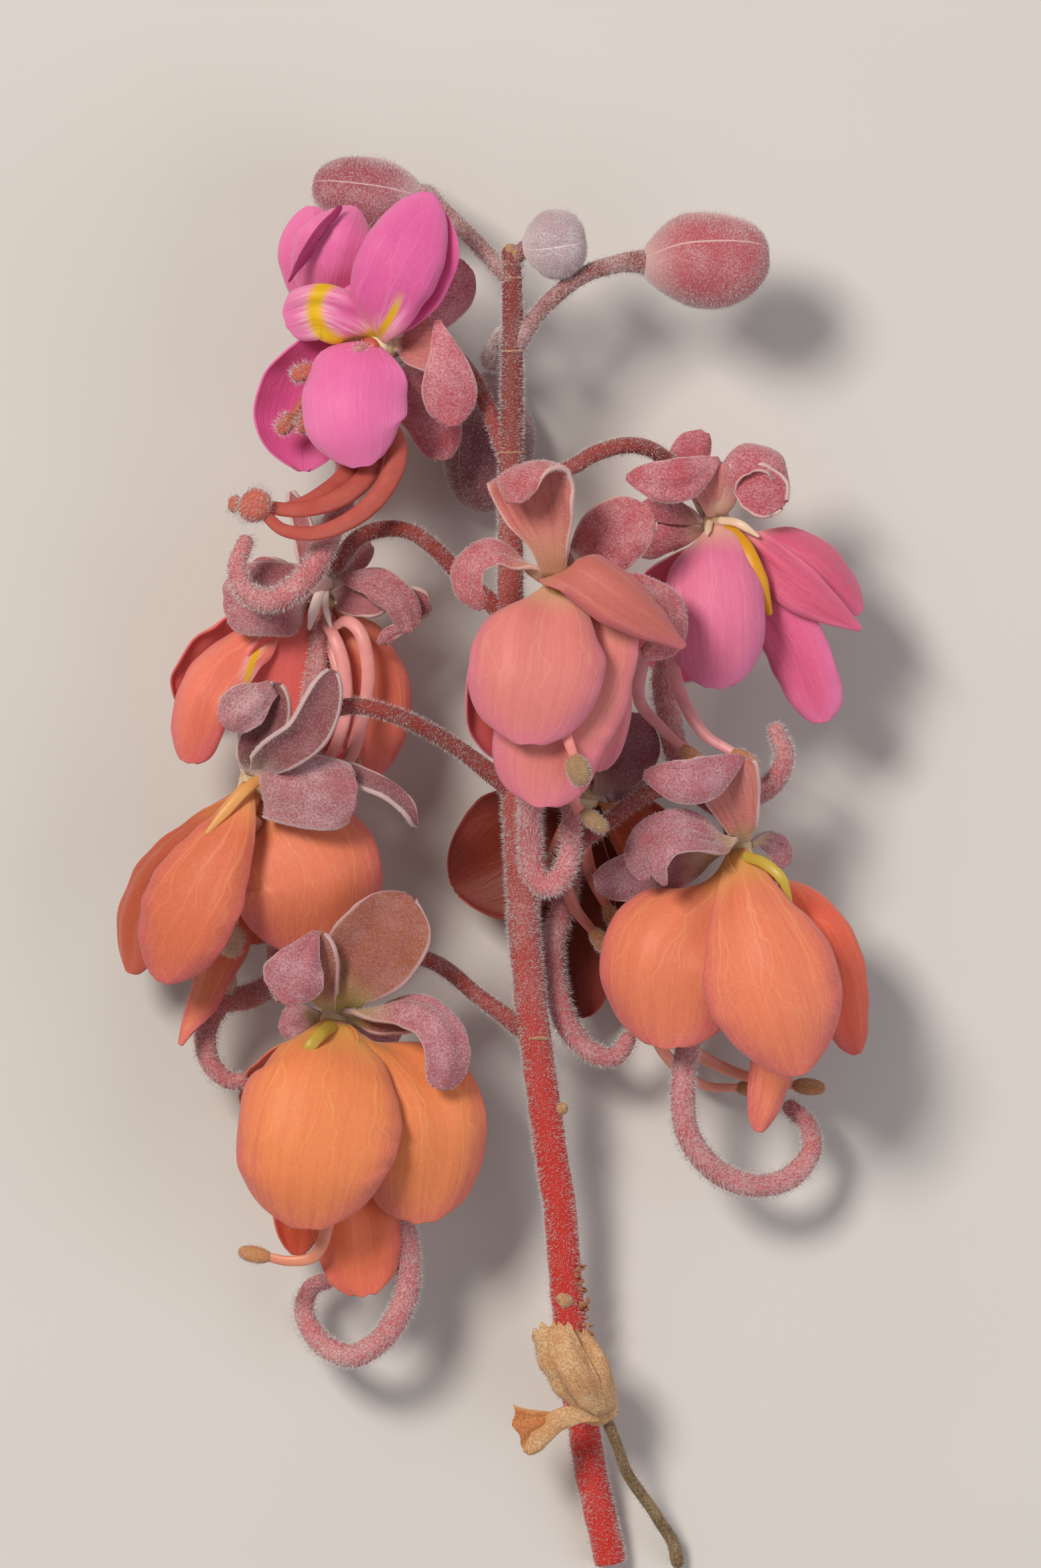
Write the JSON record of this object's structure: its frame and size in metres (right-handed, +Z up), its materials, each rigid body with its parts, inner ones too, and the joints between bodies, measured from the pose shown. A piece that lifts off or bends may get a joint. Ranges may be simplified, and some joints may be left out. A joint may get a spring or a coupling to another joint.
{
  "type": "pink shower tree flower raceme",
  "caption": "Cut raceme of a pink shower tree lying flat: felted stem, stalked open flowers with curled pistils, buds and a withered flower.",
  "frame": {"origin": "bottom centre of the whole raceme, on the surface it lies on", "axes": "+Y from the cut end of the stem to its tip, +Z up, away from the surface"},
  "size_m": [0.0534, 0.1003, 0.0299],
  "materials": {
    "felted_stem": "matte",
    "felted_sepal": "matte",
    "petal_pink": "satin",
    "petal_salmon": "satin",
    "petal_coral": "satin",
    "petal_orange": "satin",
    "stamen": "satin",
    "furry_pistil": "matte",
    "dry_flower": "matte"
  },
  "bodies": {
    "root": {"stem": "felted_stem", "calyx_a": "felted_sepal", "corolla_a": "petal_pink", "stamens_a": "stamen", "pistil_a": "furry_pistil", "calyx_b": "felted_sepal", "corolla_b": "petal_pink", "stamens_b": "stamen", "pistil_b": "furry_pistil", "calyx_c": "felted_sepal", "corolla_c": "petal_salmon", "stamens_c": "stamen", "pistil_c": "furry_pistil", "calyx_d": "felted_sepal", "corolla_d": "petal_coral", "stamens_d": "stamen", "pistil_d": "furry_pistil", "calyx_e": "felted_sepal", "corolla_e": "petal_orange", "stamens_e": "stamen", "pistil_e": "furry_pistil", "calyx_f": "felted_sepal", "corolla_f": "petal_orange", "stamens_f": "stamen", "pistil_f": "furry_pistil", "calyx_g": "felted_sepal", "corolla_g": "petal_orange", "stamens_g": "stamen", "pistil_g": "furry_pistil", "calyx_h": "felted_sepal", "corolla_h": "petal_orange", "stamens_h": "stamen", "pistil_h": "furry_pistil", "bud_1": "felted_sepal", "bud_2": "felted_sepal", "bud_3": "felted_sepal", "bud_4": "felted_sepal", "withered_flower": "dry_flower"}
  },
  "joints": []
}
